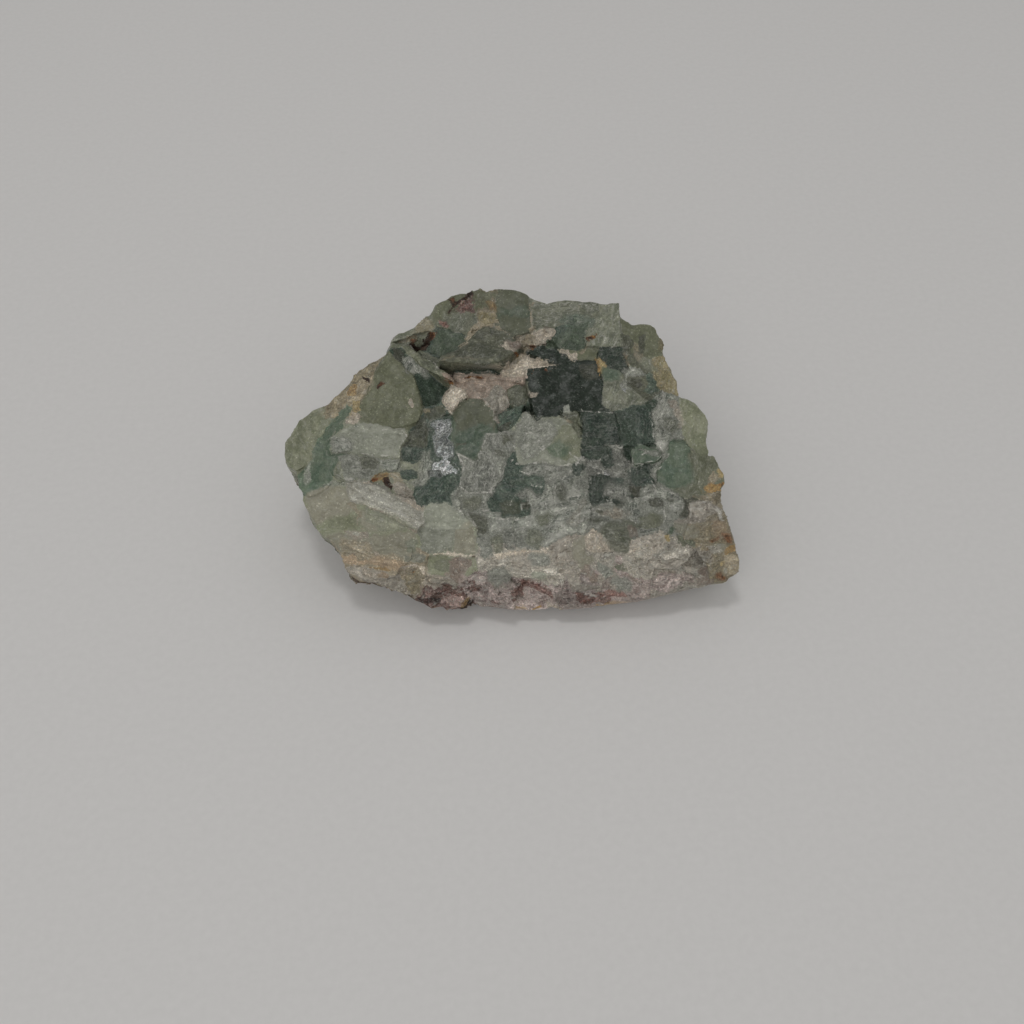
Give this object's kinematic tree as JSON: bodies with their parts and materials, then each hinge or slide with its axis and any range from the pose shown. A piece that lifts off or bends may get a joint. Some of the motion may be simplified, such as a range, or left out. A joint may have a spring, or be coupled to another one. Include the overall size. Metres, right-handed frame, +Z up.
{
  "type": "fluorite specimen",
  "caption": "Hand-sized lump of intergrown green fluorite crystals on a cream and lilac sugary band, with iron-stained rims, lying on its broken underside.",
  "frame": {"origin": "centre of the stone's bounding box at the level it rests on", "axes": "+X to the right along the stone's length, +Y to the back, towards which the crystal face rises, +Z up"},
  "size_m": [0.0706, 0.0505, 0.0269],
  "materials": {
    "fluorite": "waxy, frosted broken crystal"
  },
  "bodies": {
    "root": {"fluorite_specimen": "fluorite"}
  },
  "joints": []
}
